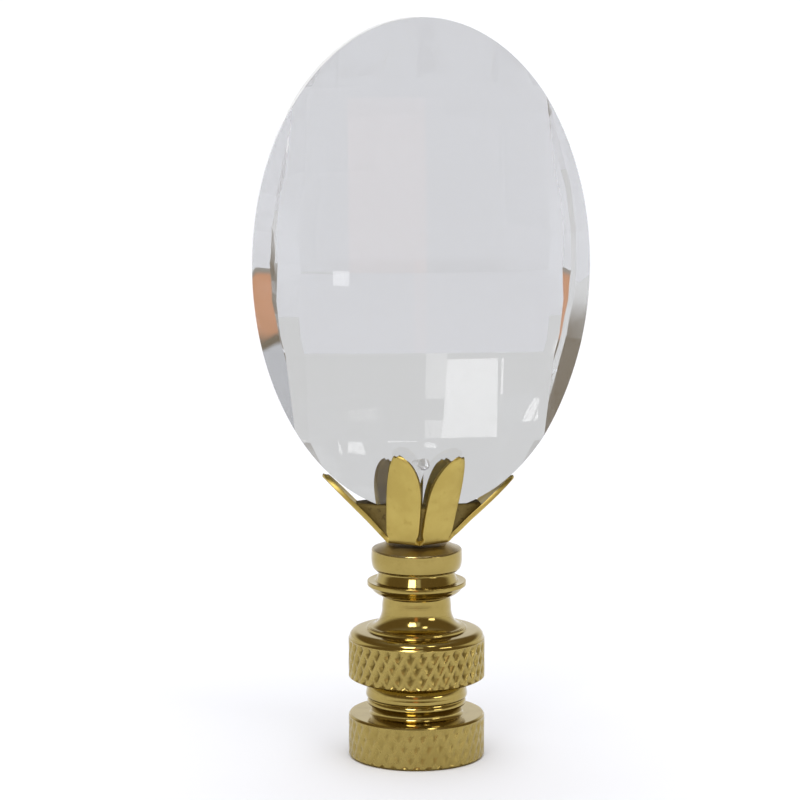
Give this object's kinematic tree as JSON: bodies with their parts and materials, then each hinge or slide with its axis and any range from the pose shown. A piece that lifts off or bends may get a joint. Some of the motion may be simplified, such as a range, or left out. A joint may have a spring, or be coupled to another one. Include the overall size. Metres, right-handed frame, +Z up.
{
  "type": "lamp shade finial",
  "caption": "Lamp shade finial: a clear faceted oval crystal cemented in a petal cup on a turned brass base with knurled bands and a threaded socket underneath.",
  "frame": {"origin": "centre of the base's flat underside, at the mouth of the socket", "axes": "+Z up through the base to the top of the crystal; +X along the crystal's width; +Y through its thickness"},
  "size_m": [0.0344, 0.014, 0.0762],
  "materials": {
    "crystal": "clear cut crystal, polished facets",
    "sheet_brass": "satin stamped sheet, lacquered",
    "cement": "dark brown hardened cement",
    "turned_brass": "polished turned brass, knurled bands, lacquered"
  },
  "bodies": {
    "root": {"crystal": "crystal", "petal_cup": "sheet_brass", "cement": "cement", "base": "turned_brass"}
  },
  "joints": []
}
